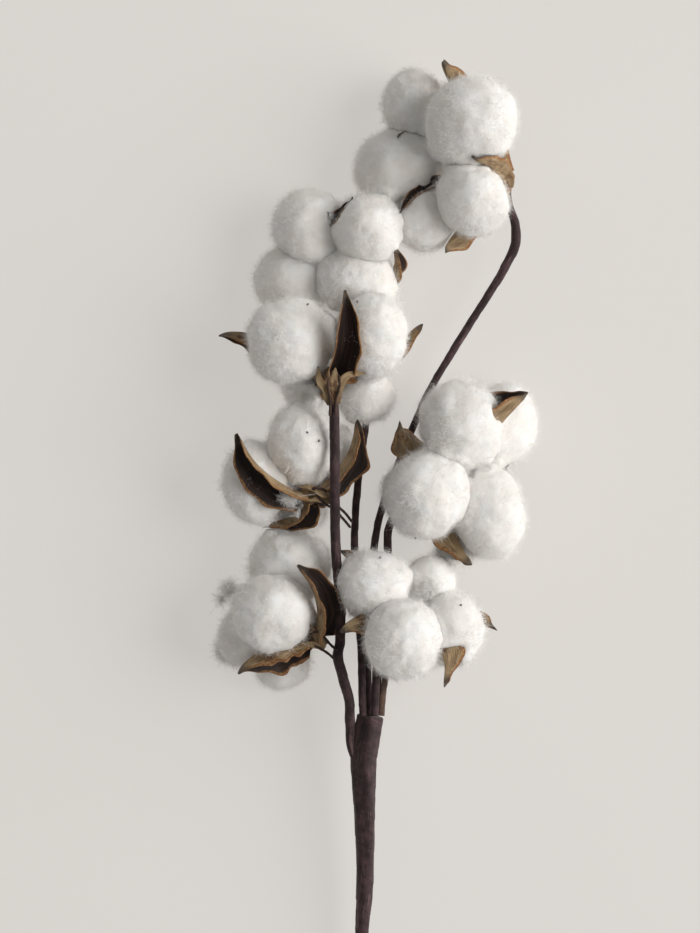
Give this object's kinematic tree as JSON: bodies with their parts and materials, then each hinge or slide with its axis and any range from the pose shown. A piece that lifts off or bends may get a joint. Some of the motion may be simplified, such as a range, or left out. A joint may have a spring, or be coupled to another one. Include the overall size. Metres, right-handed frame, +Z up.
{
  "type": "cotton stem bunch",
  "caption": "Branch of open cotton bolls lying flat: round fluffy white locks held in dry pointed brown burs, on wired branches taped into one stem.",
  "frame": {"origin": "centre of the footprint, on the surface that the bunch lies on", "axes": "+Y along the stem from its cut end to the topmost boll, +Z up from the surface, +X to the right seen from above"},
  "size_m": [0.1291, 0.481, 0.0635],
  "materials": {
    "cotton_lint": "matte",
    "bur_husk": "matte",
    "stem_tape": "matte",
    "florist_wire": "satin"
  },
  "bodies": {
    "root": {"lower_left_boll_bur": "bur_husk", "lower_left_boll_lock_1": "cotton_lint", "lower_left_boll_lock_2": "cotton_lint", "lower_left_boll_lock_3": "cotton_lint", "lower_left_boll_lock_4": "cotton_lint", "lower_left_wire": "florist_wire", "lower_right_boll_bur": "bur_husk", "lower_right_boll_lock_1": "cotton_lint", "lower_right_boll_lock_2": "cotton_lint", "lower_right_boll_lock_3": "cotton_lint", "lower_right_boll_lock_4": "cotton_lint", "lower_right_stem": "stem_tape", "main_stem": "stem_tape", "middle_left_boll_bur": "bur_husk", "middle_left_boll_lock_1": "cotton_lint", "middle_left_boll_lock_2": "cotton_lint", "middle_left_boll_lock_3": "cotton_lint", "middle_left_boll_lock_4": "cotton_lint", "middle_left_wire": "florist_wire", "right_boll_bur": "bur_husk", "right_boll_lock_1": "cotton_lint", "right_boll_lock_2": "cotton_lint", "right_boll_lock_3": "cotton_lint", "right_boll_lock_4": "cotton_lint", "right_boll_lock_5": "cotton_lint", "right_stem": "stem_tape", "top_boll_bur": "bur_husk", "top_boll_lock_1": "cotton_lint", "top_boll_lock_2": "cotton_lint", "top_boll_lock_3": "cotton_lint", "top_boll_lock_4": "cotton_lint", "top_boll_lock_5": "cotton_lint", "top_stem": "stem_tape", "upper_back_boll_bur": "bur_husk", "upper_back_boll_lock_1": "cotton_lint", "upper_back_boll_lock_2": "cotton_lint", "upper_back_boll_lock_3": "cotton_lint", "upper_back_boll_lock_4": "cotton_lint", "upper_back_stem": "stem_tape", "upper_left_boll_bur": "bur_husk", "upper_left_boll_lock_1": "cotton_lint", "upper_left_boll_lock_2": "cotton_lint", "upper_left_boll_lock_3": "cotton_lint", "upper_left_boll_lock_4": "cotton_lint", "upper_left_stem": "stem_tape", "upper_left_wire": "florist_wire"}
  },
  "joints": []
}
